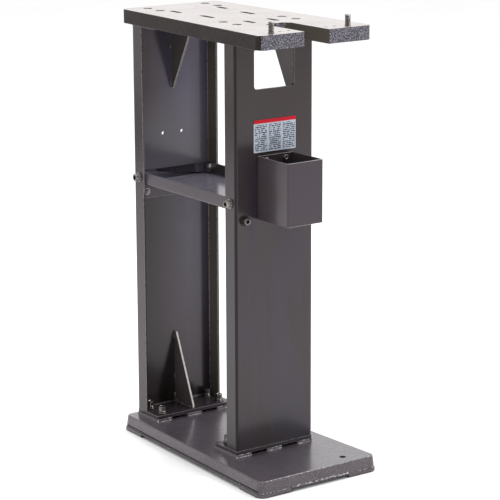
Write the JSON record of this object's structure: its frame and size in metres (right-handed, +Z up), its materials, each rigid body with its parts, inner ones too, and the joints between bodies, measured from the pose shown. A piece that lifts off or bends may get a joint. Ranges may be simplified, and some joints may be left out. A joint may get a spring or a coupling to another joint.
{
  "type": "machine stand",
  "caption": "Steel pedestal stand for a bench machine: cast base, facing channel columns, cross tray, notched top plate with studs and slots, and an open tool box.",
  "frame": {"origin": "on the floor at the middle of the base", "axes": "+Z up, -Y towards the front with the label and the tool box, +X to the right of someone who looks at the front"},
  "size_m": [0.2486, 0.452, 0.78],
  "materials": {
    "cast": "dark grey semi-gloss paint over a cast surface",
    "paint": "dark grey semi-gloss powder coat",
    "box_paint": "dark grey semi-gloss powder coat on thin sheet",
    "zinc": "bright zinc plate",
    "black_screw": "black oxide",
    "label": "printed vinyl"
  },
  "bodies": {
    "root": {"back_column": "paint", "back_foot_plate": "paint", "back_lower_gusset": "paint", "back_top_flange": "paint", "back_upper_gusset": "paint", "base": "cast", "box_nut_left": "zinc", "box_nut_right": "zinc", "box_screw_left": "zinc", "box_screw_right": "zinc", "cross_tray": "paint", "foot_screw_1": "zinc", "foot_screw_2": "zinc", "foot_screw_3": "zinc", "foot_screw_4": "zinc", "foot_screw_5": "zinc", "foot_screw_6": "zinc", "foot_screw_7": "zinc", "foot_screw_8": "zinc", "front_column": "paint", "front_foot_plate": "paint", "front_lower_gusset": "paint", "front_top_flange": "paint", "front_upper_gusset_left": "paint", "front_upper_gusset_right": "paint", "label_plate": "label", "stud_left": "zinc", "stud_right": "zinc", "tool_box": "box_paint", "top_plate": "cast", "top_screw_1": "black_screw", "top_screw_2": "black_screw", "top_screw_3": "black_screw", "top_screw_4": "black_screw", "top_screw_5": "black_screw", "top_screw_6": "black_screw", "top_screw_7": "black_screw", "top_screw_8": "black_screw", "tray_end_nut_back_left": "zinc", "tray_end_nut_back_right": "zinc", "tray_end_nut_front_left": "zinc", "tray_end_nut_front_right": "zinc", "tray_end_screw_back_left": "zinc", "tray_end_screw_back_right": "zinc", "tray_end_screw_front_left": "zinc", "tray_end_screw_front_right": "zinc", "tray_side_nut_1": "zinc", "tray_side_nut_2": "zinc", "tray_side_nut_3": "zinc", "tray_side_nut_4": "zinc", "tray_side_screw_1": "zinc", "tray_side_screw_2": "zinc", "tray_side_screw_3": "zinc", "tray_side_screw_4": "zinc"}
  },
  "joints": []
}
